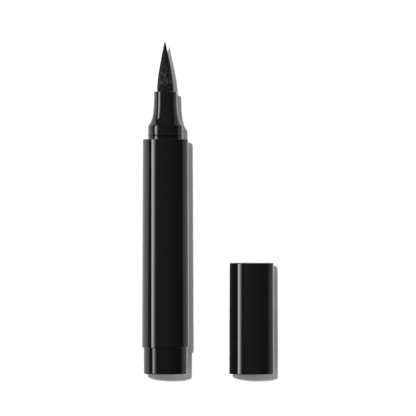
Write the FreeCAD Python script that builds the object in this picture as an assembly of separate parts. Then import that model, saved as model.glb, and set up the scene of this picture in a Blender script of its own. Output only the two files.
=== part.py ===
"""A chunky felt-tip liquid eyeliner pen, lying on a table with its cap pulled off and laid beside it.

The pen is a capillary marker: a film-wrapped fibre reservoir feeds a felt nib through a moulded front
section. The cap is a gloss shell with a snap sleeve in its mouth, and a spring pushes an inner cap over the
nib as a seal. Lengths are in millimetres. The part's frame has its origin on the table under the middle of
the pen and cap, +Y along the pen from tail to nib, +X towards the cap and +Z up.
"""
import FreeCAD, Part

import math
import os
from collections import namedtuple

Vector = FreeCAD.Vector

# Fits and clearances
press_gap = 0.02          # drawn between two pieces that are pressed together
seat_gap = 0.05           # end play between stacked pieces
slide_gap = 0.10          # between pieces that slide in each other
cap_clearance = 0.18      # snap sleeve over the pen's collar
cut_overrun = 1.0         # how far a cutting tool runs past what it cuts

# Felt nib
nib_diameter = 4.62
nib_exposed_length = 14.0     # tip to the mouth of the front section
nib_point_length = 13.4       # the tapered stretch
nib_nose_radius = 0.12        # blunt end of the point
nib_nose_length = 0.14
nib_shank_depth = 6.6         # shank inside the reservoir, before its spike
nib_spike_length = 3.0
nib_spike_end_diameter = 1.4
nib_nose_pole_share = 0.75
nib_point_pole_radius_shares = (0.32, 1.0)
nib_point_pole_length_shares = (0.20, 0.74)

# Front section
section_wall = 0.75           # outside the vent grooves
section_mouth_rounding_share = 0.40
section_straight_length = 1.5 # plain tube behind the mouth
flare_length = 8.1
flare_pole_radius_shares = (0.015, 0.35)
flare_pole_length_shares = (0.625, 0.847)
collar_ledge = 0.43           # collar stands proud of the spigot and seats on the barrel
collar_front_length = 2.1     # snap bead to the foot of the flare
snap_bead_proud = 0.15
snap_bead_height = 0.72
snap_bead_setback = 0.98      # barrel's nose to the bead
snap_bead_crown_share = 0.38  # steep behind its crown, gentle in front
snap_bead_rounding = 0.10
spigot_length = 9.0
spigot_wall = 0.60            # under the sealing ring's groove
spigot_seal_share = 0.40      # sealing ring's place along a spigot, from its shoulder
spigot_snap_share = 0.78      # snap ring's place along a spigot, from its shoulder
snap_ring_proud = 0.10        # snap rings keep both spigots in the barrel
snap_ring_height = 0.80
section_vent_count = 3
section_vent_width = 0.6
section_vent_depth = 0.15

# Vent bush that backs up the nib
bush_wall = 0.63              # under the slots
bush_reach = 3.0              # bush ends this far in front of the barrel's nose
bush_slot_count = 4
bush_slot_width = 0.7
bush_slot_depth = 0.35

# Barrel
barrel_diameter = 13.24       # at the tail, where it is widest
barrel_length = 58.3
barrel_draft = 0.235          # how much the radius shrinks from tail to nose
barrel_wall = 1.105           # over the main bore, at the nose
barrel_nose_step = 0.80       # nose bore is this much narrower than the main bore, in radius
barrel_edge_rounding = 0.15
rib_count = 6
rib_width = 0.7

# Fibre reservoir, its film and its breather tube
film_thickness = 0.12
film_gap = 0.08               # film to the barrel's ribs
rib_height = 0.40
breather_diameter = 1.0
breather_wall = 0.2
breather_inset = 0.31         # fibre left between the breather tube and the nib's shank
breather_angle = 45.0

# Tail plug
plug_head_length = 7.4
plug_head_setback = 0.475     # head is slimmer than the barrel's tail, in radius
plug_end_wall = 1.4
plug_edge_rounding = 0.35
plug_spigot_length = 8.0
plug_skirt_wall = 0.58        # under the sealing ring's groove
plug_post_count = 2
plug_post_thickness = 0.9
plug_post_reach = 1.6         # posts stand out of the spigot and hold the reservoir
ring_section = 1.0            # both sealing rings are cut square

# Cap
shell_wall = 0.615            # over the snap sleeve, at the rim
shell_draft = 0.11            # how much the radius shrinks from rim to closed end
shell_end_wall = 1.3
shell_end_rounding = 0.28
shell_rim_rounding = 0.18
sleeve_wall = 0.58
sleeve_setback = 0.3          # sleeve lies this far inside the rim
sleeve_lip_thickness = 0.8
sleeve_lip_room = 0.4         # lip that keeps the inner cap in, clear of its skirt
snap_ridge_reach = 0.13
snap_ridge_height = 0.4
snap_ridge_setback = 0.15     # from the sleeve's outer end
inner_cap_flange_thickness = 1.0
inner_cap_room = 0.24         # inner cap's bore over the front section's tube
inner_cap_lip = 0.52          # wall at the mouth, outside the seal
inner_cap_skirt_length = 1.7  # skirt that reaches out through the sleeve's lip
inner_cap_mouth_depth = 2.4   # taper that keeps the bore clear of the flare
inner_cap_end_wall = 0.7
inner_cap_end_rounding = 0.6
seal_share = 0.53             # where on the flare the inner cap seals, from the flare's top
tip_room = 0.83               # nib's point to the inner cap, when the cap is on
end_room = 0.85               # inner cap to the shell, when the cap is on
seal_travel = 1.2             # the inner cap is pushed back this far when the cap is on
spring_wire_diameter = 0.5
spring_wire_sides = 8         # the round wire is drawn with flats
spring_side_gap = 0.25        # to the inner cap and to the shell
spring_turns = 12

# Where the cap lies
gap_beside_cap = 11.24

# Radii, from the barrel inwards
barrel_tail_radius = barrel_diameter / 2
barrel_nose_radius = barrel_tail_radius - barrel_draft
barrel_bore = barrel_nose_radius - barrel_wall
nose_bore = barrel_bore - barrel_nose_step
spigot_radius = nose_bore - press_gap
groove_depth = ring_section + press_gap
bush_bore = spigot_radius - groove_depth - spigot_wall
bush_radius = bush_bore - press_gap
shank_bore = bush_radius - bush_slot_depth - bush_wall
shank_radius = shank_bore - press_gap
spike_radius = nib_spike_end_diameter / 2
nib_radius = nib_diameter / 2
nib_bore = nib_radius + press_gap
tube_radius = nib_bore + section_vent_depth + section_wall
collar_radius = spigot_radius + collar_ledge
flare_step = collar_radius - tube_radius
rib_radius = barrel_bore - rib_height
film_radius = rib_radius - film_gap
fibre_radius = film_radius - film_thickness
plug_head_radius = barrel_tail_radius - plug_head_setback
plug_spigot_radius = barrel_bore - press_gap
plug_cavity = plug_spigot_radius - groove_depth - plug_skirt_wall
breather_radius = breather_diameter / 2
breather_offset = shank_bore + breather_inset + breather_radius

# Heights along the pen, from the tail's end
barrel_tail = plug_head_length
barrel_nose = barrel_tail + barrel_length
bead_low = barrel_nose + snap_bead_setback
bead_crown = bead_low + snap_bead_height * snap_bead_crown_share
bead_high = bead_low + snap_bead_height
collar_top = bead_high + collar_front_length
flare_top = collar_top + flare_length
section_mouth = flare_top + section_straight_length
nib_tip = section_mouth + nib_exposed_length
section_rear = barrel_nose - spigot_length
section_seal = barrel_nose - spigot_length * spigot_seal_share
section_snap = barrel_nose - spigot_length * spigot_snap_share
bush_front = barrel_nose + bush_reach
plug_seal = barrel_tail + plug_spigot_length * spigot_seal_share
plug_snap = barrel_tail + plug_spigot_length * spigot_snap_share
plug_spigot_end = barrel_tail + plug_spigot_length
reservoir_rear = plug_spigot_end + plug_post_reach
reservoir_front = section_rear - seat_gap
shank_end = reservoir_front - nib_shank_depth
spike_end = shank_end - nib_spike_length
pen_length = nib_tip


def bezier(points):
    """A curve through its first and last points, drawn towards those between, in radius and height."""
    curve = Part.BezierCurve()
    curve.setPoles([Vector(radius, 0, height) for radius, height in points])
    return curve


# The flare's outline, from the plain tube down to the collar, and where the inner cap seals on it
flare_poles = [
    (tube_radius + flare_step * radius_share, flare_top - flare_length * length_share)
    for radius_share, length_share in zip(flare_pole_radius_shares, flare_pole_length_shares)
]
flare_outline = [(tube_radius, flare_top), *flare_poles, (collar_radius, collar_top)]
seal = bezier(flare_outline).value(seal_share)
seal_radius = seal.x
seal_height = seal.z - barrel_nose

# Radii of the cap, from the inner cap and from the collar outwards
inner_cap_bore = tube_radius + inner_cap_room
inner_cap_radius = seal_radius + inner_cap_lip
spring_wire_radius = spring_wire_diameter / 2
spring_radius = inner_cap_radius + spring_side_gap + spring_wire_radius
shell_bore = spring_radius + spring_wire_radius + spring_side_gap
inner_cap_flange_radius = shell_bore - slide_gap
sleeve_bore = collar_radius + cap_clearance
sleeve_lip_radius = inner_cap_radius + sleeve_lip_room
# The inner cap goes in through the mouth, which is wide enough for its flange and for the sleeve
shell_mouth_bore = max(sleeve_bore + sleeve_wall + press_gap, shell_bore + slide_gap)
sleeve_radius = shell_mouth_bore - press_gap
cap_rim_radius = shell_mouth_bore + shell_wall
cap_end_radius = cap_rim_radius - shell_draft

# Heights along the cap, from its rim
inner_cap_mouth = seal_height - seal_travel
flange_face = inner_cap_mouth + inner_cap_skirt_length
flange_back = flange_face + inner_cap_flange_thickness
sleeve_end = flange_face - seat_gap
closed_tip = nib_tip - barrel_nose
inner_cap_ceiling = closed_tip + tip_room - seal_travel
inner_cap_end = inner_cap_ceiling + inner_cap_end_wall
shell_ceiling = inner_cap_end + seal_travel + end_room
cap_length = shell_ceiling + shell_end_wall

# Places on the table: the pair is centred on the origin
pen_side = -(barrel_tail_radius + gap_beside_cap / 2 + cap_rim_radius)
pen_axis_x = pen_side + barrel_tail_radius
cap_axis_x = -pen_side - cap_rim_radius
tail_y = -pen_length / 2
turn_onto_table = FreeCAD.Rotation(Vector(1, 0, 0), -90)
pen_place = FreeCAD.Placement(Vector(pen_axis_x, tail_y, barrel_tail_radius), turn_onto_table)
cap_place = FreeCAD.Placement(Vector(cap_axis_x, tail_y, cap_rim_radius), turn_onto_table)

AXIS = Vector(0, 0, 1)
ORIGIN = Vector(0, 0, 0)
FULL_TURN = 360
Corner = namedtuple("Corner", "radius height rounding bow", defaults=(0, ()))


def rounded_corner(before, corner, after, rounding):
    """Start, middle and end of the arc that rounds a corner between two straight runs."""
    towards_before = (before - corner).normalize()
    towards_after = (after - corner).normalize()
    half_angle = towards_before.getAngle(towards_after) / 2
    setback = rounding / math.tan(half_angle)
    bisector = (towards_before + towards_after).normalize()
    middle = corner + bisector * (rounding / math.sin(half_angle) - rounding)
    return corner + towards_before * setback, middle, corner + towards_after * setback


def turned(corners):
    """Turns a closed outline of corners, in radius and height, about the axis.

    A corner may be rounded, and its bow holds the poles of a curve that leads on to the next corner."""
    points = [Vector(c.radius, 0, c.height) for c in corners]
    arcs = []
    for i, corner in enumerate(corners):
        if corner.rounding:
            after = points[(i + 1) % len(points)]
            arcs.append(rounded_corner(points[i - 1], points[i], after, corner.rounding))
        else:
            arcs.append((points[i], None, points[i]))
    edges = []
    for i, corner in enumerate(corners):
        start, middle, end = arcs[i]
        if middle:
            edges.append(Part.Arc(start, middle, end).toShape())
        following = arcs[(i + 1) % len(arcs)][0]
        if corner.bow:
            edges.append(bezier([(end.x, end.z), *corner.bow, (following.x, following.z)]).toShape())
        else:
            edges.append(Part.LineSegment(end, following).toShape())
    return Part.Face(Part.Wire(edges)).revolve(ORIGIN, AXIS, FULL_TURN)


def plain_tube(inside, outside, bottom, top):
    """A plain tube between two radii and two heights."""
    return turned([
        Corner(inside, bottom),
        Corner(outside, bottom),
        Corner(outside, top),
        Corner(inside, top),
    ])


def radial_bars(count, width, inner, outer, bottom, top, first_angle=0):
    """Bars set round the axis, each reaching from one radius to another."""
    bars = []
    for i in range(count):
        bar = Part.makeBox(outer - inner, width, top - bottom, Vector(inner, -width / 2, bottom))
        bar.rotate(ORIGIN, AXIS, first_angle + i * FULL_TURN / count)
        bars.append(bar)
    return bars


def ring_groove(outside, centre):
    """Corners of a groove, cut in a spigot's outside, that takes a sealing ring."""
    bottom = outside - groove_depth
    half_height = ring_section / 2 + seat_gap
    low, high = centre - half_height, centre + half_height
    return [Corner(outside, low), Corner(bottom, low), Corner(bottom, high), Corner(outside, high)]


def snap_ring(radius, centre, climbing=True):
    """Corners of a low ring on a spigot as the outline climbs, or of its groove in the bore coming down."""
    low, high = centre - snap_ring_height / 2, centre + snap_ring_height / 2
    pole = (radius + 2 * snap_ring_proud, centre)
    first, last = (low, high) if climbing else (high, low)
    return [Corner(radius, first, bow=[pole]), Corner(radius, last)]


def sealing_ring(bore, centre):
    """A square-cut rubber ring that touches the bore it seals."""
    outside = bore - press_gap
    half_height = ring_section / 2
    return plain_tube(outside - ring_section, outside, centre - half_height, centre + half_height)


def nib():
    """Felt rod with a long point in front, a step that rests on the bush, and a spike in the reservoir."""
    point_base = nib_tip - nib_point_length
    nose_base = nib_tip - nib_nose_length
    point_poles = [
        (nib_radius * r, nose_base - nib_point_length * z)
        for r, z in zip(nib_point_pole_radius_shares, nib_point_pole_length_shares)
    ]
    return turned([
        Corner(0, nib_tip, bow=[(nib_nose_radius * nib_nose_pole_share, nib_tip)]),
        Corner(nib_nose_radius, nose_base, bow=point_poles),
        Corner(nib_radius, point_base),
        Corner(nib_radius, bush_front),
        Corner(shank_radius, bush_front),
        Corner(shank_radius, shank_end),
        Corner(spike_radius, spike_end),
        Corner(0, spike_end),
    ])


def front_section():
    """Flared nose with a collar that the cap snaps over, and a spigot pressed into the barrel."""
    mouth_rounding = section_wall * section_mouth_rounding_share
    body = turned([
        Corner(nib_bore, bush_front),
        Corner(bush_bore, bush_front),
        Corner(bush_bore, section_rear),
        Corner(spigot_radius, section_rear),
        *snap_ring(spigot_radius, section_snap),
        *ring_groove(spigot_radius, section_seal),
        Corner(spigot_radius, barrel_nose),
        Corner(collar_radius, barrel_nose),
        Corner(collar_radius, bead_low),
        Corner(collar_radius + snap_bead_proud, bead_crown, rounding=snap_bead_rounding),
        Corner(collar_radius, bead_high),
        Corner(collar_radius, collar_top, bow=flare_poles[::-1]),
        Corner(tube_radius, flare_top),
        Corner(tube_radius, section_mouth, rounding=mouth_rounding),
        Corner(nib_bore, section_mouth),
    ])
    vents = radial_bars(
        section_vent_count, section_vent_width, 0, nib_bore + section_vent_depth,
        bush_front, section_mouth + cut_overrun,
    )
    return body.cut(vents)


def nib_bush():
    """Ring round the nib's shank, with slots that let air past."""
    body = plain_tube(shank_bore, bush_radius, section_rear, bush_front)
    slots = radial_bars(
        bush_slot_count, bush_slot_width, bush_radius - bush_slot_depth, bush_radius + cut_overrun,
        section_rear - cut_overrun, bush_front + cut_overrun, breather_angle,
    )
    return body.cut(slots)


def barrel():
    """Drafted tube with a tight nose bore for the front section and ribs that hold the reservoir clear."""
    ribs_start = plug_spigot_end + seat_gap
    body = turned([
        Corner(barrel_bore, barrel_tail),
        Corner(barrel_tail_radius, barrel_tail, rounding=barrel_edge_rounding),
        Corner(barrel_nose_radius, barrel_nose, rounding=barrel_edge_rounding),
        Corner(nose_bore, barrel_nose),
        *snap_ring(nose_bore, section_snap, climbing=False),
        Corner(nose_bore, section_rear),
        Corner(barrel_bore, section_rear),
        *snap_ring(barrel_bore, plug_snap, climbing=False),
    ])
    rib_root = (barrel_bore + barrel_nose_radius) / 2
    ribs = radial_bars(rib_count, rib_width, rib_radius, rib_root, ribs_start, section_rear)
    return body.fuse(ribs).removeSplitter()


def fibre_reservoir():
    """Bundle of fibres that holds the liquid, pierced by the nib's shank and the breather tube."""
    body = turned([
        Corner(0, reservoir_rear),
        Corner(fibre_radius, reservoir_rear),
        Corner(fibre_radius, reservoir_front),
        Corner(shank_bore, reservoir_front),
        Corner(shank_bore, shank_end - press_gap),
        Corner(spike_radius + press_gap, spike_end - press_gap),
        Corner(0, spike_end - press_gap),
    ])
    hole = Part.makeCylinder(
        breather_radius + press_gap,
        reservoir_front - reservoir_rear + 2 * cut_overrun,
        breather_centre(reservoir_rear - cut_overrun),
    )
    return body.cut(hole)


def breather_centre(height):
    """A point on the breather tube's axis, in line with one of the bush's slots."""
    angle = math.radians(breather_angle)
    return Vector(breather_offset * math.cos(angle), breather_offset * math.sin(angle), height)


def reservoir_film():
    """Plastic film wrapped round the fibres."""
    return plain_tube(fibre_radius, film_radius, reservoir_rear, reservoir_front)


def breather_tube():
    """Fine tube along the reservoir that lets air from the vents reach the tail."""
    length = reservoir_front - reservoir_rear
    foot = breather_centre(reservoir_rear)
    outside = Part.makeCylinder(breather_radius, length, foot)
    return outside.cut(Part.makeCylinder(breather_radius - breather_wall, length, foot))


def tail_plug():
    """Cup pressed into the barrel's tail, with crossed posts that hold the reservoir forward."""
    cup = turned([
        Corner(0, 0),
        Corner(plug_head_radius, 0, rounding=plug_edge_rounding),
        Corner(plug_head_radius, barrel_tail),
        Corner(plug_spigot_radius, barrel_tail),
        *ring_groove(plug_spigot_radius, plug_seal),
        *snap_ring(plug_spigot_radius, plug_snap),
        Corner(plug_spigot_radius, plug_spigot_end),
        Corner(plug_cavity, plug_spigot_end),
        Corner(plug_cavity, plug_end_wall),
        Corner(0, plug_end_wall),
    ])
    posts = radial_bars(
        2 * plug_post_count, plug_post_thickness, 0, plug_cavity, plug_end_wall, reservoir_rear - seat_gap,
    )
    return cup.fuse(posts).removeSplitter()


def cap_shell():
    """Drafted gloss cup, stepped inside for the snap sleeve."""
    return turned([
        Corner(shell_mouth_bore, 0),
        Corner(cap_rim_radius, 0, rounding=shell_rim_rounding),
        Corner(cap_end_radius, cap_length, rounding=shell_end_rounding),
        Corner(0, cap_length),
        Corner(0, shell_ceiling),
        Corner(shell_bore, shell_ceiling),
        Corner(shell_bore, sleeve_end),
        Corner(shell_mouth_bore, sleeve_end),
    ])


def cap_sleeve():
    """Sleeve in the cap's mouth: a ridge snaps behind the pen's bead, and a lip keeps the inner cap in."""
    ridge_low = sleeve_setback + snap_ridge_setback
    ridge_high = ridge_low + snap_ridge_height
    ridge_pole = (sleeve_bore - 2 * snap_ridge_reach, (ridge_low + ridge_high) / 2)
    lip_face = sleeve_end - sleeve_lip_thickness
    ramp_start = lip_face - (sleeve_bore - sleeve_lip_radius)
    return turned([
        Corner(sleeve_radius, sleeve_setback),
        Corner(sleeve_radius, sleeve_end - seat_gap),
        Corner(sleeve_lip_radius, sleeve_end - seat_gap),
        Corner(sleeve_lip_radius, lip_face),
        Corner(sleeve_bore, ramp_start),
        Corner(sleeve_bore, ridge_high, bow=[ridge_pole]),
        Corner(sleeve_bore, ridge_low),
        Corner(sleeve_bore, sleeve_setback),
    ])


def inner_cap():
    """Thin cup that seals on the flare and covers the nib, with a flange that the spring pushes."""
    return turned([
        Corner(seal_radius, inner_cap_mouth),
        Corner(inner_cap_radius, inner_cap_mouth),
        Corner(inner_cap_radius, flange_face),
        Corner(inner_cap_flange_radius, flange_face),
        Corner(inner_cap_flange_radius, flange_back),
        Corner(inner_cap_radius, flange_back),
        Corner(inner_cap_radius, inner_cap_end, rounding=inner_cap_end_rounding),
        Corner(0, inner_cap_end),
        Corner(0, inner_cap_ceiling),
        Corner(inner_cap_bore, inner_cap_ceiling),
        Corner(inner_cap_bore, inner_cap_mouth + inner_cap_mouth_depth),
    ])


def arc_from(start, direction, end):
    """The arc that leaves a point in a given direction and reaches another point."""
    chord = end - start
    along = Vector(chord).normalize()
    across = direction - along * direction.dot(along)
    sagitta = chord.Length / 2 * math.tan(direction.getAngle(chord) / 2)
    middle = (start + end) / 2 + across.normalize() * sagitta
    return Part.Arc(start, middle, end).toShape()


def helix_arcs(radius, pitch, turns, start_height, steps_per_turn=4):
    """A helix as pairs of tangent arcs, two to each step."""
    slope = pitch / (2 * math.pi)

    def at(angle):
        point = Vector(radius * math.cos(angle), radius * math.sin(angle), start_height + slope * angle)
        tangent = Vector(-radius * math.sin(angle), radius * math.cos(angle), slope)
        return point, tangent.normalize()

    edges = []
    step = 2 * math.pi / steps_per_turn
    for i in range(turns * steps_per_turn):
        start, leaving = at(i * step)
        end, arriving = at((i + 1) * step)
        chord = end - start
        turning = 2 * (1 - leaving.dot(arriving))
        drive = chord.dot(leaving + arriving)
        reach = (math.sqrt(drive * drive + turning * chord.dot(chord)) - drive) / turning
        meeting = (start + leaving * reach + end - arriving * reach) / 2
        edges.append(arc_from(start, leaving, meeting))
        edges.append(arc_from(end, -arriving, meeting))
    return edges


def least_gap(path, thickness, points_per_arc=4):
    """The least gap between turns of a wire that follows a path, measured on points along it."""
    points = []
    for edge in path.OrderedEdges:
        points += edge.discretize(points_per_arc)[:-1]
    points_per_turn = len(points) // spring_turns
    half_turn = points_per_turn // 2
    distances = [
        points[i].distanceToPoint(points[j])
        for i in range(len(points))
        for j in range(i + half_turn, min(i + 2 * points_per_turn, len(points)))
    ]
    return min(distances) - thickness


def inner_cap_spring():
    """Coil spring round the inner cap, from its flange to the shell's closed end."""
    bottom = flange_back + spring_wire_radius + seat_gap
    top = shell_ceiling - spring_wire_radius - seat_gap
    pitch = (top - bottom) / spring_turns
    path = Part.Wire(Part.__sortEdges__(helix_arcs(spring_radius, pitch, spring_turns, bottom)))
    start = path.Edges[0]
    leaving = start.tangentAt(start.FirstParameter)
    round_wire = Part.Circle(Vector(spring_radius, 0, bottom), leaving, spring_wire_radius)
    corners = round_wire.toShape().discretize(spring_wire_sides + 1)
    coil = path.makePipeShell([Part.makePolygon(corners)], True, False)
    print(f"spring: least gap to itself {least_gap(path, spring_wire_diameter):.2f} mm")
    return coil


PEN_PIECES = (
    nib, front_section, nib_bush, barrel, fibre_reservoir, reservoir_film, breather_tube, tail_plug,
)
CAP_PIECES = (cap_shell, cap_sleeve, inner_cap, inner_cap_spring)


def build():
    """Every piece by name, in its place on the table."""
    made = {piece.__name__: (piece(), pen_place) for piece in PEN_PIECES}
    made["section_seal_ring"] = (sealing_ring(nose_bore, section_seal), pen_place)
    made["tail_seal_ring"] = (sealing_ring(barrel_bore, plug_seal), pen_place)
    made.update({piece.__name__: (piece(), cap_place) for piece in CAP_PIECES})
    for name, (shape, place) in made.items():
        shape.Placement = place.multiply(shape.Placement)
    return {name: shape for name, (shape, place) in made.items()}


def main():
    os.makedirs("parts", exist_ok=True)
    for name, shape in build().items():
        shape.exportStep(f"parts/{name}.step")
        print(f"{name}: {len(shape.Solids)} solid, {shape.Volume:.1f} mm3, valid {shape.isValid()}")
    print(f"pen {pen_length:.2f} long, barrel {barrel_diameter:.2f} across, cap {cap_length:.2f} long")
    print(f"radii: collar {collar_radius:.2f}, tube {tube_radius:.2f}, cap rim {cap_rim_radius:.2f}")
    print(f"inner cap seals at {seal_height:.2f} from the rim, {2 * seal_radius:.2f} across")


main()
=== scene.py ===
# %% [markdown]
# # A felt-tip eyeliner pen and its cap
# The pen is a moulded black plastic tube with a felt nib, and its cap lies beside it on a white table.
# The measured solids come first, as a frame that is never moved. Round pieces that catch the light are then
# turned again as smooth meshes, and everything gets its finish.

# %% Load the frame
import math

import bmesh
import bpy
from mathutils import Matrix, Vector
from mathutils.geometry import interpolate_bezier


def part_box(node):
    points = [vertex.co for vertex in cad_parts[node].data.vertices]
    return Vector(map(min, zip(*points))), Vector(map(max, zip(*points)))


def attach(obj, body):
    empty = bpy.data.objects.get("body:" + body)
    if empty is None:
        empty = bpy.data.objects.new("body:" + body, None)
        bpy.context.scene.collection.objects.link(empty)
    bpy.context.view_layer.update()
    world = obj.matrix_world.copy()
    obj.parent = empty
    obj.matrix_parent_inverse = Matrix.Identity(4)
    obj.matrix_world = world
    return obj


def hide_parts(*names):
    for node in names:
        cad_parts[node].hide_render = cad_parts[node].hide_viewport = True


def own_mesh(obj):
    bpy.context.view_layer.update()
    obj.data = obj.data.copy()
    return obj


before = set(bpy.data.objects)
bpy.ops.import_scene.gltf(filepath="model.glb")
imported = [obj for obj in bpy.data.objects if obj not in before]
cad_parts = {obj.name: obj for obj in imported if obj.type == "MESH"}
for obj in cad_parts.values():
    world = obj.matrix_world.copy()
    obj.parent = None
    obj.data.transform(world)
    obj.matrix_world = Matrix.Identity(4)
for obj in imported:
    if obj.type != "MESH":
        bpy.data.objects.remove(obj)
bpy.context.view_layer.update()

print("nodes:", sorted(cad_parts))

# %% [markdown]
# ## Two lines to turn about
# Both the pen and the cap are round and lie along Y, so each has a line through its middle. The line could be
# typed in, but it is safer to read it from the frame: the middle of a round node's box is its axis, and the
# box's lower Y is where the tail or the rim begins. All distances below run from there, in millimetres.

# %% Find the axes
MM = 0.001


def axis_of(node):
    """Where a round node's axis starts: the middle of its box, at its lowest Y."""
    low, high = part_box(node)
    return Vector(((low.x + high.x) / 2, low.y, (low.z + high.z) / 2))


pen_line = axis_of("tail_plug")
cap_line = axis_of("cap_shell")
print("pen axis", [round(value / MM, 3) for value in pen_line])
print("cap axis", [round(value / MM, 3) for value in cap_line])

# %% [markdown]
# ## A lathe
# Every shell here was moulded round, so one outline spun about the axis makes it. A cylinder primitive could
# be edited instead, but steps, bores and flares are easier to read as a list of radius and distance. The spin
# is full, so its last ring merges with its first. Points on the axis are spun into many copies of themselves,
# and merging doubles turns those into one clean pole. The normals are recalculated after that.

# %% Spin an outline
TURN_STEPS = 120
FULL_TURN = 2 * math.pi
MERGE_WITHIN = 0.0005 * MM


def turn(outline, line, closed=True):
    """Spins (radius, distance) points about a line; an outline that ends on the axis isn't closed."""
    bm = bmesh.new()
    points = [bm.verts.new(line + Vector((radius, along, 0)) * MM) for radius, along in outline]
    pairs = list(zip(points, points[1:]))
    if closed:
        pairs.append((points[-1], points[0]))
    edges = [bm.edges.new(pair) for pair in pairs]
    bmesh.ops.spin(
        bm, geom=points + edges, cent=line, axis=(0, 1, 0), angle=FULL_TURN,
        steps=TURN_STEPS, use_merge=True,
    )
    bmesh.ops.remove_doubles(bm, verts=bm.verts, dist=MERGE_WITHIN)
    bmesh.ops.recalc_face_normals(bm, faces=bm.faces)
    return bm


def curve(start, first_pull, second_pull, end, steps=16):
    """Points along a smooth bend from start towards end, without the end itself."""
    knots = [Vector((*point, 0)) for point in (start, first_pull, second_pull, end)]
    return [(point.x, point.y) for point in interpolate_bezier(*knots, steps + 1)[:-1]]


# %% [markdown]
# ## Soft edges
# A moulded edge is never a knife edge: it has a small radius, and that is where it catches the light. The
# edges to round are rings, so they are found by their radius and distance. The roundings could be points of
# the outline, but bevelling after the spin keeps the outlines short. The bevel's defaults differ from the
# editor's, so all its settings are given.

# %% Round a ring
EDGE_SEGMENTS = 8
NEAR = 0.002  # how far off a place still counts as being there, in millimetres or radians


def place_on(vert, line):
    """A vertex's radius and distance along a line, in millimetres."""
    out = vert.co - line
    return math.hypot(out.x, out.z) / MM, out.y / MM


def soften(bm, line, radius, along, rounding):
    """Rounds the ring-shaped edge that lies at a radius and a distance."""
    def on_ring(vert):
        vert_radius, vert_along = place_on(vert, line)
        return abs(vert_radius - radius) < NEAR and abs(vert_along - along) < NEAR

    ring = [edge for edge in bm.edges if all(on_ring(vert) for vert in edge.verts)]
    bmesh.ops.bevel(
        bm, geom=ring, offset=rounding * MM, offset_type="OFFSET", affect="EDGES", segments=EDGE_SEGMENTS,
        profile=0.5, material=-1,
    )
    print(f"rounded {len(ring)} edges at radius {radius:.2f}, {along:.2f} along, by {rounding:.2f} mm")


# %% [markdown]
# ## From mesh to piece
# A finished mesh becomes an object that sits at the origin, rides on its body and stands for its node. Smooth
# shading alone would let a tiny rounded edge bend the shading of the long face beside it, so a Weighted
# Normal modifier lets the large faces lead, and edges over 16 degrees stay crisp.

# %% Keep a piece
CRISP_ANGLE = math.radians(16)


def new_object(bm, name, finish):
    """Turns a mesh under construction into an object at the origin that wears a finish."""
    mesh = bpy.data.meshes.new(name)
    bm.to_mesh(mesh)
    bm.free()
    mesh.materials.append(finish)
    made = bpy.data.objects.new(name, mesh)
    bpy.context.scene.collection.objects.link(made)
    return made


def keep(bm, name, body, node, finish):
    """Makes the mesh a piece that rides on a body, stands for a node and wears a finish."""
    piece = new_object(bm, name, finish)
    mesh = piece.data
    mesh.shade_smooth()
    mesh.set_sharp_from_angle(angle=CRISP_ANGLE)
    leading = piece.modifiers.new("large_faces_lead", "WEIGHTED_NORMAL")
    leading.keep_sharp = True
    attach(piece, body)
    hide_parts(node)
    print(f"{name}: {len(mesh.vertices)} vertices, {len(mesh.polygons)} faces")
    return piece


# %% [markdown]
# ## What a moulded surface carries
# Polished plastic looks perfect from afar, but close up it has a very slight ripple, patches of haze where it
# was handled, and a little dust. Several plastics here share that, so it is one node group that puts out a
# height and two masks. Each material decides how much of them it takes. The group reads Object coordinates,
# and as every piece sits at the origin, one unit there is one metre of the real thing.

# %% Build the moulded-surface group
def fill(node, values):
    """Fills in a node's unlinked inputs."""
    for socket, value in values.items():
        node.inputs[socket].default_value = value


def add_node(tree, kind, inputs=None, **settings):
    """Adds a node, sets its options and fills in its unlinked inputs."""
    node = tree.nodes.new(kind)
    for option, value in settings.items():
        setattr(node, option, value)
    fill(node, inputs or {})
    return node


def new_group(name, sockets_in, sockets_out):
    """An empty shader group with float inputs and outputs, and its input and output nodes."""
    tree = bpy.data.node_groups.new(name, "ShaderNodeTree")
    for socket, value in sockets_in.items():
        made = tree.interface.new_socket(socket, in_out="INPUT", socket_type="NodeSocketFloat")
        made.default_value = value
    for socket in sockets_out:
        tree.interface.new_socket(socket, in_out="OUTPUT", socket_type="NodeSocketFloat")
    return tree, tree.nodes.new("NodeGroupInput"), tree.nodes.new("NodeGroupOutput")


moulded, given, result = new_group(
    "moulded_surface",
    {"Ripple Scale": 300.0, "Haze Scale": 120.0, "Dust Scale": 700.0},
    ["Ripple", "Haze", "Dust"],
)
place = add_node(moulded, "ShaderNodeTexCoord")
ripple = add_node(moulded, "ShaderNodeTexNoise", {"Detail": 2.0, "Roughness": 0.4})
haze = add_node(moulded, "ShaderNodeTexNoise", {"Detail": 5.0, "Roughness": 0.62, "Distortion": 0.6})
haze_range = add_node(moulded, "ShaderNodeMapRange", {"From Min": 0.42, "From Max": 0.72})
dust = add_node(moulded, "ShaderNodeTexVoronoi", {"Randomness": 1.0}, feature="F1")
dust_range = add_node(moulded, "ShaderNodeMapRange", {"From Min": 0.11, "From Max": 0.05})
for texture, scale in ((ripple, "Ripple Scale"), (haze, "Haze Scale"), (dust, "Dust Scale")):
    moulded.links.new(place.outputs["Object"], texture.inputs["Vector"])
    moulded.links.new(given.outputs[scale], texture.inputs["Scale"])
moulded.links.new(ripple.outputs["Fac"], result.inputs["Ripple"])
moulded.links.new(haze.outputs["Fac"], haze_range.inputs["Value"])
moulded.links.new(haze_range.outputs["Result"], result.inputs["Haze"])
moulded.links.new(dust.outputs["Distance"], dust_range.inputs["Value"])
moulded.links.new(dust_range.outputs["Result"], result.inputs["Dust"])
print("moulded_surface:", len(moulded.nodes), "nodes")

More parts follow.
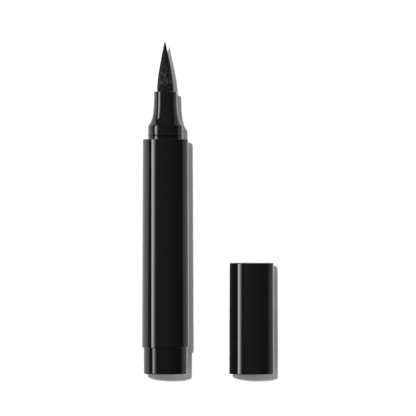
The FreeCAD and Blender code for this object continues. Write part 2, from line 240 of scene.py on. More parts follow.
# %% [markdown]
# ## Moulded plastics
# Barrel, tail plug, front section and cap are one polished black plastic. Its colour is almost nothing: what
# is seen of it is the room mirrored in it. A mirror-sharp surface would look like glass, so the roughness is
# low but not zero, and the haze raises it a little in patches. Other plastics of the pen differ only in
# colour, gloss and a few settings of the shader, so one function makes them all.

# %% Make the plastics
def new_finish(name, inputs=None):
    """A material with its Principled shader, some of whose inputs may be given."""
    material = bpy.data.materials.new(name)
    material.use_nodes = True
    shader = material.node_tree.nodes["Principled BSDF"]
    fill(shader, inputs or {})
    return material, material.node_tree, shader


def plastic(name, colour, dust_colour, roughness, ripple_height, inputs=None):
    """A moulded plastic: colour with dust, a roughness from clean to hazy, and a slight ripple."""
    material, tree, shader = new_finish(name, inputs)
    surface = add_node(tree, "ShaderNodeGroup", node_tree=moulded)
    tint = add_node(tree, "ShaderNodeMix", {"A": (*colour, 1), "B": (*dust_colour, 1)}, data_type="RGBA")
    gloss = add_node(tree, "ShaderNodeMapRange", {"To Min": roughness[0], "To Max": roughness[1]})
    bump = add_node(tree, "ShaderNodeBump", {"Strength": 1.0, "Distance": ripple_height * MM})
    tree.links.new(surface.outputs["Dust"], tint.inputs["Factor"])
    tree.links.new(tint.outputs["Result"], shader.inputs["Base Color"])
    tree.links.new(surface.outputs["Haze"], gloss.inputs["Value"])
    tree.links.new(gloss.outputs["Result"], shader.inputs["Roughness"])
    tree.links.new(surface.outputs["Ripple"], bump.inputs["Height"])
    tree.links.new(bump.outputs["Normal"], shader.inputs["Normal"])
    return material


gloss_black = plastic(
    "gloss_black", colour=(0.0028, 0.0028, 0.0030), dust_colour=(0.010, 0.010, 0.010),
    roughness=(0.060, 0.105), ripple_height=0.0007,
)
print("made", gloss_black.name)

# %% [markdown]
# ## The barrel
# The barrel is a drafted tube: moulded plastic shrinks onto its core, so the tube is a little wider at the
# tail. Its nose has a tighter bore for the front section. Six ribs inside hold the reservoir clear of the
# wall. They could be separate bars, but on the real tube they are one with it, so the bore's own vertices are
# scaled towards the axis at six places. Two shallow grooves take the snap rings of the pieces pushed in at
# its ends.

# %% Turn the barrel
def pull_columns(bm, line, radius, stretch, count, width, new_radius):
    """Moves evenly spaced columns of a bore in or out, over a stretch of the line."""
    half_angle = math.asin(width / 2 / radius) + NEAR
    chosen = []
    for vert in bm.verts:
        vert_radius, along = place_on(vert, line)
        out = vert.co - line
        angle = math.atan2(out.z, out.x) % (FULL_TURN / count)
        in_column = min(angle, FULL_TURN / count - angle) < half_angle
        on_bore = abs(vert_radius - radius) < NEAR
        if in_column and on_bore and stretch[0] - NEAR < along < stretch[1] + NEAR:
            chosen.append(vert)
    for vert in chosen:
        out = vert.co - line
        vert.co.x = line.x + out.x * new_radius / radius
        vert.co.z = line.z + out.z * new_radius / radius
    print(f"{count} columns of {len(chosen) // count} vertices moved from radius {radius} to {new_radius}")


SNAP_PULL = 0.133  # how far the bend of a snap ring is pulled out, in millimetres


def snap_ring(radius, start, end):
    """A low round ring between two places along the pen, which clicks two pieces together."""
    crest, third = radius + SNAP_PULL, (end - start) / 3
    pulls = (crest, start + third), (crest, end - third)
    return [*curve((radius, start), *pulls, (radius, end), steps=6), (radius, end)]


barrel_tail, barrel_nose = 7.4, 65.7
tail_radius, nose_radius = 6.62, 6.385
barrel_bore, nose_bore = 5.28, 4.48
section_rear, ribs_start, rib_slope = 56.7, 15.45, 0.1
rib_count, rib_width, rib_radius = 6, 0.7, 4.88
ribs_end = section_rear - rib_slope
plug_snap, section_snap = (13.24, 14.04), (58.28, 59.08)
barrel = turn([
    (barrel_bore, barrel_tail), (tail_radius, barrel_tail), (nose_radius, barrel_nose),
    (nose_bore, barrel_nose), *snap_ring(nose_bore, *reversed(section_snap)), (nose_bore, section_rear),
    (barrel_bore, section_rear), (barrel_bore, ribs_end),
    (barrel_bore, ribs_start), (barrel_bore, ribs_start - rib_slope),
    *snap_ring(barrel_bore, *reversed(plug_snap)),
], pen_line)
pull_columns(barrel, pen_line, barrel_bore, (ribs_start, ribs_end), rib_count, rib_width, rib_radius)
soften(barrel, pen_line, tail_radius, barrel_tail, rounding=0.22)
soften(barrel, pen_line, nose_radius, barrel_nose, rounding=0.15)
keep(barrel, "barrel_tube", "pen", "barrel", gloss_black)

# %% [markdown]
# ## The tail plug
# The plug closes the barrel behind the reservoir. Its head is slimmer than the barrel, which leaves the step
# that shows near the tail. Its spigot has a groove for a rubber ring and a ring that snaps into the barrel.
# The groove could be cut afterwards, but four more points in the outline do the same.

# %% Turn the tail plug
SEAL_DEPTH, SEAL_WIDTH = 1.02, 1.1


def seal_groove(radius, centre):
    """Four outline points of a square groove for a rubber ring."""
    low, high = centre - SEAL_WIDTH / 2, centre + SEAL_WIDTH / 2
    return [(radius, low), (radius - SEAL_DEPTH, low), (radius - SEAL_DEPTH, high), (radius, high)]


plug_radius, plug_spigot, plug_cavity = 6.145, 5.26, 3.66
plug_floor, plug_end, plug_seal = 1.4, 15.4, 10.6
tail_plug = turn([
    (0, 0), (plug_radius, 0), (plug_radius, barrel_tail), (plug_spigot, barrel_tail),
    *seal_groove(plug_spigot, plug_seal), *snap_ring(plug_spigot, *plug_snap),
    (plug_spigot, plug_end), (plug_cavity, plug_end), (plug_cavity, plug_floor), (0, plug_floor),
], pen_line, closed=False)
soften(tail_plug, pen_line, plug_radius, 0, rounding=0.35)
soften(tail_plug, pen_line, plug_radius, barrel_tail, rounding=0.06)
soften(tail_plug, pen_line, plug_spigot, plug_end, rounding=0.25)
print("plug volume", round(tail_plug.calc_volume() / MM**3, 1), "mm3")

# %% [markdown]
# ## The crossed post
# A crossed post inside the plug holds the reservoir forward. It could be two bars pushed through each other,
# but those would overlap in the middle. A grid of nine squares without its four corners is already a cross,
# and extruding it gives one clean shell. The plug's plastic is a little less shiny than the barrel's.

# %% Add the crossed post
post_thickness, post_reach, post_start, post_end = 0.9, 3.64, 1.42, 16.95
inner_lines = 0.9  # the grid's outer lines lie at 1, and its inner ones at a third


def crossed_post(bm, line):
    """A plus-shaped post along the line, as a closed shell of its own."""
    made = bmesh.ops.create_grid(bm, x_segments=3, y_segments=3, size=1)["verts"]
    for vert in made:
        is_inner = [abs(value) < inner_lines for value in vert.co.xy]
        across = [post_thickness / 2 if inner else post_reach for inner in is_inner]
        x, z = (math.copysign(reach, value) * MM for reach, value in zip(across, vert.co.xy))
        vert.co = line + Vector((x, post_start * MM, z))
    squares = {face for vert in made for face in vert.link_faces}
    middle = (post_thickness / 2 + NEAR) * MM
    corners = []
    for square in squares:
        out = square.calc_center_median() - line
        if abs(out.x) > middle and abs(out.z) > middle:
            corners.append(square)
    bmesh.ops.delete(bm, geom=corners, context="FACES")
    cross = [square for square in squares if square.is_valid]
    raised = bmesh.ops.extrude_face_region(bm, geom=cross, use_keep_orig=True)["geom"]
    tops = [item for item in raised if isinstance(item, bmesh.types.BMVert)]
    bmesh.ops.translate(bm, verts=tops, vec=(0, (post_end - post_start) * MM, 0))
    bmesh.ops.recalc_face_normals(bm, faces=bm.faces)
    print("crossed post from", len(cross), "squares")


crossed_post(tail_plug, pen_line)
plug_black = plastic(
    "plug_black", colour=(0.0026, 0.0026, 0.0028), dust_colour=(0.010, 0.010, 0.010),
    roughness=(0.075, 0.12), ripple_height=0.0007, inputs={"Specular IOR Level": 0.40},
)
keep(tail_plug, "tail_plug_cup", "pen", "tail_plug", plug_black)

# %% [markdown]
# ## The front section
# This moulding does the most work on the pen: a spigot with a rubber ring and a snap ring sits in the barrel,
# a collar with a low bead holds the cap, and a concave flare leads to the slim tube that grips the nib. The
# flare is one smooth bend, drawn with two pulls like a curve in a drawing program. The bead is steep behind
# and gentle in front, so the cap slides on easily and holds. Three shallow channels in the mouth let air in
# beside the nib.

# %% Turn the front section
nib_bore, tube_radius, collar_radius = 2.33, 3.23, 4.89
spigot_radius, bush_bore, bush_front = 4.46, 2.84, 68.7
section_seal, collar_top, flare_top, mouth = 62.1, 69.5, 77.6, 79.1
bead_low, bead_crown, bead_high, bead_height = 66.5, 66.81, 67.28, 0.15
crown_radius = collar_radius + bead_height
channel_count, channel_width, channel_radius = 3, 0.6, 2.48
flare_pulls = (3.811, 70.739), (3.255, 72.538)
flare = curve((collar_radius, collar_top), *flare_pulls, (tube_radius, flare_top), steps=24)
front_section = turn([
    (nib_bore, bush_front), (bush_bore, bush_front), (bush_bore, section_rear), (spigot_radius, section_rear),
    *snap_ring(spigot_radius, *section_snap), *seal_groove(spigot_radius, section_seal),
    (spigot_radius, barrel_nose), (collar_radius, barrel_nose),
    (collar_radius, bead_low), (crown_radius, bead_crown), (collar_radius, bead_high),
    *flare, (tube_radius, flare_top), (tube_radius, mouth), (nib_bore, mouth),
], pen_line)
pull_columns(
    front_section, pen_line, nib_bore, (bush_front, mouth), channel_count, channel_width, channel_radius,
)
soften(front_section, pen_line, tube_radius, mouth, rounding=0.3)
soften(front_section, pen_line, collar_radius, collar_top, rounding=0.3)
soften(front_section, pen_line, crown_radius, bead_crown, rounding=0.05)
keep(front_section, "front_section_moulding", "pen", "front_section", gloss_black)

# %% [markdown]
# ## Felt
# The nib is a bundle of fibres bonded together and ground to a point, and the reservoir is another bundle.
# Fibres could be modelled one by one, but at this size only their grain shows, so one node group puts out a
# strand height, pale flecks and patches. It can draw the grain out along the pen: the reservoir's fibres run
# long, while the ground nib shows only their cut ends.

# %% Build the fibre group
fibres, given, result = new_group(
    "fibre_bundle",
    {"Fineness": 5200.0, "Stretch": 0.35, "Fleck Scale": 5200.0},
    ["Strand", "Fleck", "Patch"],
)
place = add_node(fibres, "ShaderNodeTexCoord")
squeeze = add_node(fibres, "ShaderNodeCombineXYZ", {"X": 1.0, "Z": 1.0})
run = add_node(fibres, "ShaderNodeVectorMath", operation="MULTIPLY")
strand = add_node(fibres, "ShaderNodeTexNoise", {"Detail": 3.0, "Roughness": 0.65})
fleck = add_node(fibres, "ShaderNodeTexNoise", {"Detail": 3.0, "Roughness": 0.7})
fleck_range = add_node(fibres, "ShaderNodeMapRange", {"From Min": 0.48, "From Max": 0.68})
patch = add_node(fibres, "ShaderNodeTexNoise", {"Scale": 900.0, "Detail": 2.0})
patch_range = add_node(fibres, "ShaderNodeMapRange", {"From Min": 0.35, "From Max": 0.65, "To Min": 0.4})
fibres.links.new(given.outputs["Stretch"], squeeze.inputs["Y"])
fibres.links.new(place.outputs["Object"], run.inputs[0])
fibres.links.new(squeeze.outputs["Vector"], run.inputs[1])
for texture, scale in ((strand, "Fineness"), (fleck, "Fleck Scale")):
    fibres.links.new(run.outputs["Vector"], texture.inputs["Vector"])
    fibres.links.new(given.outputs[scale], texture.inputs["Scale"])
fibres.links.new(place.outputs["Object"], patch.inputs["Vector"])
fibres.links.new(strand.outputs["Fac"], result.inputs["Strand"])
fibres.links.new(fleck.outputs["Fac"], fleck_range.inputs["Value"])
fibres.links.new(fleck_range.outputs["Result"], result.inputs["Fleck"])
fibres.links.new(patch.outputs["Fac"], patch_range.inputs["Value"])
fibres.links.new(patch_range.outputs["Result"], result.inputs["Patch"])
print("fibre_bundle:", len(fibres.nodes), "nodes")

# %% [markdown]
# ## The felt's colour
# The liquid keeps the felt nearly black, and the cut fibre ends show as pale flecks. Their share changes
# along the nib through a ramp that crowds them into a belt low on the cone, and that belt is partly a painted
# highlight.

# %% Make the nib's felt
def ramp(tree, stops):
    """A ramp through stops of (share, grey value)."""
    node = add_node(tree, "ShaderNodeValToRGB")
    elements = node.color_ramp.elements
    elements.remove(elements[1])
    elements[0].position, first_value = stops[0]
    elements[0].color = (first_value, first_value, first_value, 1)
    for share, value in stops[1:]:
        elements.new(share).color = (value, value, value, 1)
    return node


def felt(name, dark, pale, roughness, relief, ends, fleck_and_highlight_stops, scales=None):
    """Bonded fibres with pale cut ends, as many as the stops say between two places along Y; a belt of them
    can paint a highlight.
    """
    material, tree, shader = new_finish(name, {"Specular IOR Level": 0.14})
    grain = add_node(tree, "ShaderNodeGroup", scales, node_tree=fibres)
    place = add_node(tree, "ShaderNodeTexCoord")
    split = add_node(tree, "ShaderNodeSeparateXYZ")
    share = add_node(tree, "ShaderNodeMapRange", {"From Min": ends[0], "From Max": ends[1]})
    # Where this ramp crowds the pale flecks into a belt, they are partly a painted highlight.
    fleck_and_highlight_share = ramp(tree, fleck_and_highlight_stops)
    fleck_and_highlight_amount = add_node(tree, "ShaderNodeMath", operation="MULTIPLY")
    amount = add_node(tree, "ShaderNodeMath", operation="MULTIPLY")
    tint = add_node(tree, "ShaderNodeMix", {"A": (*dark, 1), "B": (*pale, 1)}, data_type="RGBA")
    fuzz = add_node(tree, "ShaderNodeMapRange", {"To Min": roughness[0], "To Max": roughness[1]})
    height = add_node(tree, "ShaderNodeMath", operation="ADD")
    bump = add_node(tree, "ShaderNodeBump", {"Strength": 1.0, "Distance": relief * MM})
    tree.links.new(grain.outputs["Fleck"], amount.inputs[0])
    tree.links.new(grain.outputs["Patch"], amount.inputs[1])
    tree.links.new(place.outputs["Object"], split.inputs["Vector"])
    tree.links.new(split.outputs["Y"], share.inputs["Value"])
    tree.links.new(share.outputs["Result"], fleck_and_highlight_share.inputs["Fac"])
    tree.links.new(amount.outputs["Value"], fleck_and_highlight_amount.inputs[0])
    tree.links.new(fleck_and_highlight_share.outputs["Color"], fleck_and_highlight_amount.inputs[1])
    tree.links.new(fleck_and_highlight_amount.outputs["Value"], tint.inputs["Factor"])
    tree.links.new(tint.outputs["Result"], shader.inputs["Base Color"])
    tree.links.new(grain.outputs["Strand"], fuzz.inputs["Value"])
    tree.links.new(fuzz.outputs["Result"], shader.inputs["Roughness"])
    tree.links.new(grain.outputs["Strand"], height.inputs[0])
    tree.links.new(grain.outputs["Fleck"], height.inputs[1])
    tree.links.new(height.outputs["Value"], bump.inputs["Height"])
    tree.links.new(bump.outputs["Normal"], shader.inputs["Normal"])
    return material


cone_base, nib_tip = 79.7, 93.1
# The belt of pale flecks low on the cone is partly a painted highlight.
black_felt = felt(
    "black_felt", dark=(0.003, 0.003, 0.0033), pale=(0.155, 0.155, 0.159), roughness=(0.6, 0.9), relief=0.03,
    ends=(pen_line.y + cone_base * MM, pen_line.y + nib_tip * MM),
    fleck_and_highlight_stops=[(0, 0.28), (0.09, 0.28), (0.13, 1.0), (0.19, 0.85), (0.30, 0.5), (0.55, 0.28), (1, 0.2)],
    scales={"Fineness": 4200.0, "Stretch": 1.0, "Fleck Scale": 2300.0},
)
print("made", black_felt.name)

# %% [markdown]
# ## The nib
# The point bulges slightly before it narrows to a blunt tip, so it is one smooth bend. Felt is soft, and this
# point leans a very little to the left. An armature could bend it, but it is enough to move its vertices
# sideways by an amount that grows from the mouth to the tip. Grinding leaves the felt with fine pits. They
# are real dents here and not only shading, made by a Displace modifier whose middle level is 1: it can only
# push inwards, and the nib keeps its measured size.

# %% Turn the nib
nib_radius, nib_lean = 2.31, 0.17
point_radius, point_base = 0.12, 92.96
feed_radius, feed_shoulder, feed_end_radius, feed_end = 1.82, 50.05, 0.7, 47.05
point_pulls = (0.06, nib_tip), (0.11, 93.05)
point = curve((0, nib_tip), *point_pulls, (point_radius, point_base), steps=4)
cone_pulls = (0.739, 90.28), (nib_radius, 83.044)
cone = curve((point_radius, point_base), *cone_pulls, (nib_radius, cone_base), steps=96)
nib = turn([
    *point, *cone, (nib_radius, cone_base), (nib_radius, mouth), (nib_radius, bush_front),
    (feed_radius, bush_front), (feed_radius, feed_shoulder), (feed_end_radius, feed_end), (0, feed_end),
], pen_line, closed=False)
lean_reach = nib_tip - mouth
for vert in nib.verts:
    beyond_mouth = max(place_on(vert, pen_line)[1] - mouth, 0)
    vert.co.x -= nib_lean * MM * math.sqrt(beyond_mouth / lean_reach)
nib_piece = keep(nib, "felt_nib", "pen", "nib", black_felt)
pit_size, pit_depth = 0.16, 0.03
pits = bpy.data.textures.new("felt_pits", "CLOUDS")
pits.noise_scale = pit_size * MM
pits.noise_depth = 1
dents = nib_piece.modifiers.new("felt_pits", "DISPLACE")
dents.texture = pits
dents.texture_coords = "LOCAL"
dents.mid_level = 1.0
dents.strength = pit_depth * MM
print("pits up to", pit_depth, "mm deep")

# %% [markdown]
# ## The cap
# The cap is a plain polished cup, widest at its rim, with a rounded closed end. Its mouth is bored out for
# the snap sleeve. The bore could be cut from a solid cup, but outside and inside are one outline here, so the
# rim has its true thickness when seen from the front.

# %% Turn the cap's shell
cap_length, ceiling, ledge = 31.08, 29.78, 6.649
rim_radius, end_radius, mouth_bore, shell_bore = 6.285, 6.175, 5.67, 5.236
shell = turn([
    (0, cap_length), (end_radius, cap_length), (rim_radius, 0), (mouth_bore, 0), (mouth_bore, ledge),
    (shell_bore, ledge), (shell_bore, ceiling), (0, ceiling),
], cap_line, closed=False)
soften(shell, cap_line, end_radius, cap_length, rounding=0.28)
soften(shell, cap_line, rim_radius, 0, rounding=0.18)
keep(shell, "cap_cup", "cap", "cap_shell", gloss_black)

# %% [markdown]
# ## The snap sleeve
# A sleeve of plain black plastic lines the cap's mouth. Its ridge snaps behind the bead on the pen, and its
# lip keeps the inner cap from falling out. The ridge is a low bend in the sleeve's own outline, because it is
# moulded with it. The sleeve is less polished than the shell.

# %% Turn the sleeve
black_plastic = plastic(
    "black_plastic", colour=(0.010, 0.010, 0.011), dust_colour=(0.030, 0.030, 0.030),
    roughness=(0.28, 0.42), ripple_height=0.003,
)
sleeve_bore, sleeve_radius, lip_radius = 5.07, 5.65, 4.636
sleeve_front, sleeve_rear, lip_edge, lip_foot = 0.3, 6.6, 5.85, 5.415
ridge_low, ridge_high, ridge_pull = 0.45, 0.85, 4.897
ridge_pulls = (ridge_pull, 0.71), (ridge_pull, 0.59)
ridge = curve((sleeve_bore, ridge_high), *ridge_pulls, (sleeve_bore, ridge_low), steps=6)
sleeve = turn([
    (sleeve_radius, sleeve_front), (sleeve_radius, sleeve_rear), (lip_radius, sleeve_rear),
    (lip_radius, lip_edge), (sleeve_bore, lip_foot), *ridge, (sleeve_bore, ridge_low),
    (sleeve_bore, sleeve_front),
], cap_line)
keep(sleeve, "snap_sleeve", "cap", "cap_sleeve", black_plastic)

# %% [markdown]
# ## The inner cap
# The inner cap is a thin milky cup with a flange. It slides, pushed by a spring, and closes on the flare so
# that the nib stays wet. Its mouth widens a little to sit on the flare. Milky plastic lets some light in, so
# its finish scatters light under the surface.

# %% Turn the inner cap
natural_plastic = plastic(
    "natural_plastic", colour=(0.72, 0.71, 0.66), dust_colour=(0.60, 0.58, 0.52),
    roughness=(0.34, 0.50), ripple_height=0.004,
    inputs={
        "Subsurface Weight": 0.35, "Subsurface Radius": (1.0, 0.9, 0.8), "Subsurface Scale": 0.8 * MM,
    },
)
inner_radius, flange_radius, inner_bore, seal_radius = 4.236, 5.136, 3.47, 3.716
inner_mouth, seal_end, flange_low, flange_high = 5.0, 7.4, 6.7, 7.7
inner_end, inner_ceiling = 27.73, 27.03
inner_cap = turn([
    (0, inner_end), (inner_radius, inner_end), (inner_radius, flange_high), (flange_radius, flange_high),
    (flange_radius, flange_low), (inner_radius, flange_low), (inner_radius, inner_mouth),
    (seal_radius, inner_mouth), (inner_bore, seal_end), (inner_bore, inner_ceiling), (0, inner_ceiling),
], cap_line, closed=False)
soften(inner_cap, cap_line, inner_radius, inner_end, rounding=0.6)
soften(inner_cap, cap_line, inner_radius, inner_mouth, rounding=0.1)
keep(inner_cap, "inner_cap_cup", "inner_cap", "inner_cap", natural_plastic)

# %% [markdown]
# ## The spring
# The spring is a round wire wound into a helix. A spin that also steps along the axis draws exactly that: one
# ring of wire, turned twelve times while it advances. It is a mesh rather than a bevelled curve, with a mesh
# of its own, though the real spring shortens as the inner cap is pushed in. Its steel has hazy patches, which
# are duller and darker than the bright wire.

# %% Wind the spring
def spring_steel(bright, dull):
    """Drawn wire: bright metal with patches of a duller grey."""
    material, tree, shader = new_finish("spring_steel", {"Metallic": 1.0})
    surface = add_node(tree, "ShaderNodeGroup", {"Haze Scale": 900.0}, node_tree=moulded)
    tint = add_node(tree, "ShaderNodeMix", {"A": (*bright, 1), "B": (*dull, 1)}, data_type="RGBA")
    gloss = add_node(tree, "ShaderNodeMapRange", {"To Min": 0.18, "To Max": 0.34})
    tree.links.new(surface.outputs["Haze"], tint.inputs["Factor"])
    tree.links.new(tint.outputs["Result"], shader.inputs["Base Color"])
    tree.links.new(surface.outputs["Haze"], gloss.inputs["Value"])
    tree.links.new(gloss.outputs["Result"], shader.inputs["Roughness"])
    return material


coil_radius, wire_radius, turns = 4.736, 0.25, 12
coil_start, coil_end = 8.0, 29.48
wire_sides, steps_per_turn = 10, 40
coil = bmesh.new()
ring = bmesh.ops.create_circle(coil, segments=wire_sides, radius=wire_radius * MM, cap_ends=True)["verts"]
for vert in ring:
    across, up = vert.co.x, vert.co.y
    vert.co = cap_line + Vector((coil_radius * MM + across, coil_start * MM + up, 0))
steps = turns * steps_per_turn
advance = (coil_end - coil_start) / steps * MM
bmesh.ops.spin(
    coil, geom=ring + coil.edges[:] + coil.faces[:], cent=cap_line, axis=(0, 1, 0), dvec=(0, advance, 0),
    angle=FULL_TURN * turns, steps=steps, use_merge=False,
)
bmesh.ops.remove_doubles(coil, verts=coil.verts, dist=MERGE_WITHIN)
bmesh.ops.recalc_face_normals(coil, faces=coil.faces)
steel = spring_steel(bright=(0.62, 0.62, 0.63), dull=(0.45, 0.45, 0.46))
spring = keep(coil, "coil_spring", "cap", "inner_cap_spring", steel)
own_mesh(spring)

# %% [markdown]
# ## Finishes for the hidden pieces
# Inside the barrel lie the reservoir, its film, the breather tube, the vent bush and two rubber rings. Their
# solids are right as they are, so they keep their meshes and only get finishes.

# %% Dress the hidden nodes
def wear(node, finish):
    """Gives a node of the frame its finish."""
    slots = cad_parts[node].data.materials
    slots.clear()
    slots.append(finish)


reservoir_fibre = felt(
    "fibre", dark=(0.010, 0.010, 0.011), pale=(0.12, 0.12, 0.13), roughness=(0.6, 0.9), relief=0.05,
    ends=(pen_line.y, pen_line.y + nib_tip * MM), fleck_and_highlight_stops=[(0, 1), (1, 1)],
)
black_rubber = plastic(
    "black_rubber", colour=(0.014, 0.014, 0.014), dust_colour=(0.05, 0.05, 0.048),
    roughness=(0.55, 0.75), ripple_height=0.004,
)
clear_film = plastic(
    "clear_film", colour=(0.86, 0.87, 0.88), dust_colour=(0.7, 0.7, 0.7),
    roughness=(0.12, 0.22), ripple_height=0.01, inputs={"Transmission Weight": 0.85},
)
for node, finish in (
    ("fibre_reservoir", reservoir_fibre), ("reservoir_film", clear_film), ("breather_tube", natural_plastic),
    ("nib_bush", natural_plastic), ("section_seal_ring", black_rubber), ("tail_seal_ring", black_rubber),
):
    wear(node, finish)
    print(node, "wears", finish.name)

# %% [markdown]
# ## The table
# The set is a plain white table. It could glow by itself, but its white comes from its own colour under a
# plain level of light, so it still takes the shadows. It reaches far enough to fill the view from any side.

# %% Lay the table
def stage_sheet(name, corner, side, rise, finish):
    """A flat sheet of the set: a corner and its two sides, in metres."""
    bm = bmesh.new()
    bmesh.ops.create_grid(bm, x_segments=1, y_segments=1, size=0.5)
    for vert in bm.verts:
        vert.co = Vector(corner) + Vector(side) * (vert.co.x + 0.5) + Vector(rise) * (vert.co.y + 0.5)
    sheet = new_object(bm, name, finish)
    return sheet


table_white = new_finish(
    "table_white", {"Base Color": (0.96, 0.96, 0.96, 1), "Roughness": 0.9, "Specular IOR Level": 0.0},
)[0]
table_size, table_drop = 16.0, 0.00002
table_corner = (-table_size / 2, -table_size / 2, -table_drop)
stage_sheet("table", table_corner, (table_size, 0, 0), (0, table_size, 0), table_white)
print("table", table_size, "m wide")

# %% [markdown]
# ## The softbox
# Black gloss is drawn by what it mirrors. Along the left side of pen and cap runs a bright strip with a sharp
# lower edge that fades upwards: a long softbox at the left, whose light falls off with height. It also dims
# towards its front end, which the flare mirrors. A lamp could make the strip too, but both fades are easier
# to give to a sheet that glows. Only reflections see it.

# %% Set up the softbox
def mirrored_only(sheet):
    """Only reflections see this sheet: it casts no shadow and no view shows it."""
    for ray in ("camera", "diffuse", "transmission", "volume_scatter", "shadow"):
        setattr(sheet, f"visible_{ray}", False)


NO_FADE = (0, 1, 1)


def glow(name, stops, low, high, fade=NO_FADE):
    """Light that changes with height through stops of (share, strength), and may dim along Y."""
    material, tree, shader = new_finish(name)
    tree.nodes.remove(shader)
    place = add_node(tree, "ShaderNodeTexCoord")
    split = add_node(tree, "ShaderNodeSeparateXYZ")
    share = add_node(tree, "ShaderNodeMapRange", {"From Min": low, "From Max": high})
    peak = max(strength for stop_share, strength in stops)
    shares_of_peak = ramp(tree, [(stop_share, strength / peak) for stop_share, strength in stops])
    strength = add_node(tree, "ShaderNodeMath", {1: peak}, operation="MULTIPLY")
    fade_start, fade_end, left_over = fade
    fade_range = {"From Min": fade_start, "From Max": fade_end, "To Min": 1.0, "To Max": left_over}
    dimmer = add_node(tree, "ShaderNodeMapRange", fade_range)
    dimmed = add_node(tree, "ShaderNodeMath", operation="MULTIPLY")
    light = add_node(tree, "ShaderNodeEmission")
    tree.links.new(place.outputs["Object"], split.inputs["Vector"])
    tree.links.new(split.outputs["Z"], share.inputs["Value"])
    tree.links.new(share.outputs["Result"], shares_of_peak.inputs["Fac"])
    tree.links.new(shares_of_peak.outputs["Color"], strength.inputs[0])
    tree.links.new(split.outputs["Y"], dimmer.inputs["Value"])
    tree.links.new(strength.outputs["Value"], dimmed.inputs[0])
    tree.links.new(dimmer.outputs["Result"], dimmed.inputs[1])
    tree.links.new(dimmed.outputs["Value"], light.inputs["Strength"])
    tree.links.new(light.outputs["Emission"], tree.nodes["Material Output"].inputs["Surface"])
    return material


strip_x, strip_low, strip_high = -0.161, 0.0175, 0.151
strip_start, strip_length = -0.117, 0.236
strip_stops = [(0, 9.7), (0.365, 9.7), (0.49, 7.4), (0.615, 3.5), (0.785, 1.1), (0.955, 0)]
strip_fade = (0.05, 0.118, 0.45)
strip_light = glow("strip_light", strip_stops, strip_low, strip_high, strip_fade)
strip_corner, strip_rise = (strip_x, strip_start, strip_low), (0, 0, strip_high - strip_low)
mirrored_only(stage_sheet("softbox", strip_corner, (0, strip_length, 0), strip_rise, strip_light))
print("softbox", strip_length, "m long")

# %% [markdown]
# ## The cards
# Below the strip the plastic is dark, and then the white table shows. A dark card at the left hides the lower
# part of the softbox, and its top falls towards the nib, so the strip's edge stays straight on the tapering
# barrel. Cards between pen and cap keep each out of the other's reflection: grey on the pen's side, dark on
# the cap's. Grey ones beside the cap and beyond its closed end put a dimmer table into the gloss there, and a
# dark wall at each end hides the bright horizon. Only reflections see them. No card is lit: each glows at a
# set level, so the dark and grey that the gloss shows of them are painted reflections.

# %% Set up the cards
def folded_card(name, points, half_length, finish):
    """A long card along Y, folded through (x, z) points in metres."""
    bm = bmesh.new()
    verts = [bm.verts.new((x, -half_length, z)) for x, z in points]
    edges = [bm.edges.new(pair) for pair in zip(verts, verts[1:])]
    made = bmesh.ops.extrude_edge_only(bm, edges=edges)["geom"]
    far = [item for item in made if isinstance(item, bmesh.types.BMVert)]
    bmesh.ops.translate(bm, verts=far, vec=(0, 2 * half_length, 0))
    card = new_object(bm, name, finish)
    mirrored_only(card)


# These finishes glow at set levels and are never lit: painted dark and grey reflections.
dark, pen_grey_top, cap_grey_top = 0.08, 0.0103, 0.0093
dark_painted_reflection = glow("dark_painted_reflection", [(0, dark), (1, dark)], 0, 1)
pen_painted_grey_reflection = glow("pen_painted_grey_reflection", [(0, 0.60), (0.94, 0.56), (1, dark)], 0, pen_grey_top)
cap_painted_grey_reflection = glow("cap_painted_grey_reflection", [(0, 0.42), (0.94, 0.36), (1, dark)], 0, cap_grey_top)

left_x, left_reach, left_height = -0.068, 0.2, 0.012
left_top, left_fall = 0.0270, 0.0547
left_low_foot, left_low_top = 0.0067, 0.020
left_corner = (left_x, -left_reach, left_top + left_fall * left_reach - left_height)
left_side = (0, 2 * left_reach, -2 * left_fall * left_reach)
mirrored_only(stage_sheet("left_card", left_corner, left_side, (0, 0, left_height), dark_painted_reflection))
folded_card("left_low_card", [(left_x, left_low_foot), (left_x, left_low_top)], left_reach, dark_painted_reflection)

card_reach, flat_height = 0.07, 0.0001
pen_side_x, pen_side_top = 0.0002, 0.0118
cap_left_x, cap_left_top, cap_left_end = 0.0006, 0.0123, 0.0123
cap_right_start, cap_right_x, cap_right_top = 0.0245, 0.030, 0.016
cap_left = [(cap_left_x, cap_left_top), (cap_left_x, flat_height), (cap_left_end, flat_height)]
cap_right = [(cap_right_start, flat_height), (cap_right_x, flat_height), (cap_right_x, cap_right_top)]
folded_card("pen_side_card", [(pen_side_x, 0), (pen_side_x, pen_side_top)], card_reach, pen_painted_grey_reflection)
folded_card("cap_left_card", cap_left, card_reach, dark_painted_reflection)
folded_card("cap_right_card", cap_right, card_reach, cap_painted_grey_reflection)

end_x, end_gap, end_width, end_length = 0.0007, 0.01, 0.1, 0.14
end_corner = (end_x, cap_line.y + (cap_length + end_gap) * MM, 2 * flat_height)
mirrored_only(stage_sheet("cap_end_card", end_corner, (end_width, 0, 0), (0, end_length, 0), cap_painted_grey_reflection))

wall_x, wall_width, wall_height, wall_distance = -0.3, 0.6, 0.026, 0.13
for name, wall_y in (("back_card", wall_distance), ("front_card", -wall_distance)):
    wall = stage_sheet(name, (wall_x, wall_y, 0), (wall_width, 0, 0), (0, 0, wall_height), dark_painted_reflection)
    mirrored_only(wall)
print("eight cards")

# %% [markdown]
# ## The lamps
# One distant lamp from the upper left draws the short, nearly sharp shadows, and a very broad one from above
# fills them. Together with the sky they light a white surface to about 1, so every colour renders as written.
# The gloss shows no image of them, so reflections don't see the lamps.

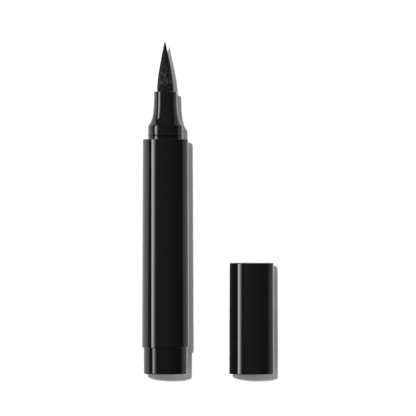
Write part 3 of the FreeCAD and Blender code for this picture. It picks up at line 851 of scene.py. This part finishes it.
# %% Hang the lamps
def lamp(name, strength, spread, travel):
    """A distant lamp whose light travels in a given direction."""
    data = bpy.data.lights.new(name, "SUN")
    data.energy = strength
    data.angle = math.radians(spread)
    lamp_object = bpy.data.objects.new(name, data)
    lamp_object.rotation_euler = Vector(travel).to_track_quat("-Z", "Y").to_euler()
    lamp_object.visible_glossy = False
    bpy.context.scene.collection.objects.link(lamp_object)


lamp("key_lamp", strength=2.825, spread=2.6, travel=(0.172, -0.188, -1.0))
lamp("fill_lamp", strength=0.76, spread=110.0, travel=(0.0, 0.0, -1.0))
print("lamps", [light.name for light in bpy.data.lights])

# %% [markdown]
# ## The sky
# The sky is white at the horizon, so low views end in white. Above that it is a dim dome that brightens
# towards the top and leans to the far left, which gives the dark parts of the gloss their faint gradient. A
# picture of a room could do this, but two ramps and a lean are enough for a plain studio.

# %% Light the sky
horizon_stops = [(0.04, 1.0), (0.14, 0.0)]
dome_low, dome_high, dome_lean = 0.06, 0.16, (-0.35, 0.9, 0.0)
world = bpy.data.worlds.new("studio")
bpy.context.scene.world = world
world.use_nodes = True
sky = world.node_tree
backdrop = sky.nodes["Background"]
look = add_node(sky, "ShaderNodeTexCoord")
axes = add_node(sky, "ShaderNodeSeparateXYZ")
horizon = ramp(sky, horizon_stops)
dome = add_node(sky, "ShaderNodeMapRange", {"To Min": dome_low, "To Max": dome_high})
lean = add_node(sky, "ShaderNodeVectorMath", {1: dome_lean}, operation="DOT_PRODUCT")
lean_level = add_node(sky, "ShaderNodeMath", {1: 1.0}, operation="ADD")
leaning_dome = add_node(sky, "ShaderNodeMath", operation="MULTIPLY")
level = add_node(sky, "ShaderNodeMath", operation="ADD")
sky.links.new(look.outputs["Generated"], axes.inputs["Vector"])
sky.links.new(axes.outputs["Z"], horizon.inputs["Fac"])
sky.links.new(axes.outputs["Z"], dome.inputs["Value"])
sky.links.new(look.outputs["Generated"], lean.inputs[0])
sky.links.new(lean.outputs["Value"], lean_level.inputs[0])
sky.links.new(dome.outputs["Result"], leaning_dome.inputs[0])
sky.links.new(lean_level.outputs["Value"], leaning_dome.inputs[1])
sky.links.new(horizon.outputs["Color"], level.inputs[0])
sky.links.new(leaning_dome.outputs["Value"], level.inputs[1])
sky.links.new(level.outputs["Value"], backdrop.inputs["Color"])
print("sky:", len(sky.nodes), "nodes")

# %% [markdown]
# ## The camera
# The photograph was taken from straight above with a long lens, so the sides stay nearly parallel. A
# perspective camera high up gives the same. Its own resting direction is straight down with +Y up, so it
# needs no turning, only a height and a very small shift.

# %% Place the camera
pixel_size, picture_pixels = 0.28, 416
camera_height, shift_x, shift_y = 1.3, -0.02, -0.08
camera_data = bpy.data.cameras.new("camera")
camera_data.sensor_width = 36.0
picture_width = pixel_size * picture_pixels * MM
camera_data.lens = camera_data.sensor_width * (camera_height - pen_line.z) / picture_width
camera = bpy.data.objects.new("camera", camera_data)
camera.location = (shift_x * MM, shift_y * MM, camera_height)
bpy.context.scene.collection.objects.link(camera)
bpy.context.scene.camera = camera
bpy.context.scene.view_settings.view_transform = "Standard"
print(f"lens {camera_data.lens:.1f} mm")
